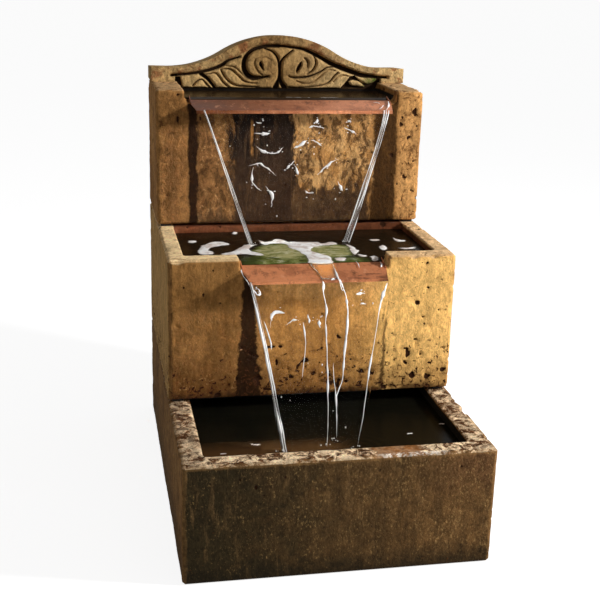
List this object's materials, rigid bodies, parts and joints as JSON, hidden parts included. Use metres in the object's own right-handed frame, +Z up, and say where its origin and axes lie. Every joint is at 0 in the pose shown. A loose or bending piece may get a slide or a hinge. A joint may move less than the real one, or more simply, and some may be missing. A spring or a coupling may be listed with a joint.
{
  "type": "stepped garden fountain",
  "caption": "Stepped cast-stone garden fountain with a carved arched crest, stacked pools, copper spillways between them, and a submersible pump with its riser hose inside.",
  "frame": {"origin": "on the ground, under the middle of the base basin", "axes": "+Z up, +X to the right seen from the front, the front faces -Y, the flat back +Y"},
  "size_m": [0.61, 0.89, 0.967],
  "materials": {
    "cast_stone": "matte, pitted",
    "copper": "weathered sheet",
    "setting_pad": "matte",
    "stainless": "satin",
    "pump_plastic": "matte moulded",
    "regulator_plastic": "matte moulded",
    "impeller_plastic": "matte moulded",
    "ferrite": "matte",
    "shaft_ceramic": "polished",
    "rubber": "matte",
    "fitting_plastic": "matte moulded",
    "hose": "smooth vinyl"
  },
  "bodies": {
    "fountain": {"lower_basin": "cast_stone", "middle_tier": "cast_stone", "upper_tier": "cast_stone", "crest": "cast_stone", "middle_spillway": "copper", "upper_spillway": "copper", "middle_tier_pads": "setting_pad", "upper_tier_pads": "setting_pad", "crest_dowels": "stainless", "pump_housing": "pump_plastic", "pump_volute": "pump_plastic", "pump_inlet_plate": "pump_plastic", "rear_bush": "rubber", "front_bush": "rubber", "impeller_shaft": "shaft_ceramic", "regulator_clip": "regulator_plastic", "pump_feet": "rubber", "pump_screws": "stainless", "cord_gland": "pump_plastic", "hose_adaptor": "fitting_plastic", "bulkhead_body": "fitting_plastic", "bulkhead_seal": "rubber", "bulkhead_nut": "fitting_plastic", "riser_hose": "hose", "lower_hose_clamp": "stainless", "upper_hose_clamp": "stainless"},
    "flow_regulator": {"flow_regulator": "regulator_plastic"},
    "rotor": {"impeller": "impeller_plastic", "rotor_magnet": "ferrite"},
    "intake_strainer": {"strainer_sleeve": "pump_plastic", "strainer_grille": "pump_plastic"},
    "drain_plug": {"drain_plug": "rubber"}
  },
  "joints": [
    {"name": "impeller_spin", "type": "hinge", "parent": "fountain", "child": "rotor", "pos_m": [0, 0.04, 0.091], "axis": [0, 1, 0], "continuous": true},
    {"name": "regulator_turn", "type": "hinge", "parent": "fountain", "child": "flow_regulator", "pos_m": [0, 0.04, 0.091], "axis": [0, -1, 0], "range_deg": [0, 60]},
    {"name": "strainer_pull", "type": "slide", "parent": "fountain", "child": "intake_strainer", "axis": [0, -1, 0], "range_m": [0, 0.06]},
    {"name": "drain_plug_pull", "type": "slide", "parent": "fountain", "child": "drain_plug", "axis": [0, 0, 1], "range_m": [0, 0.12]}
  ]
}
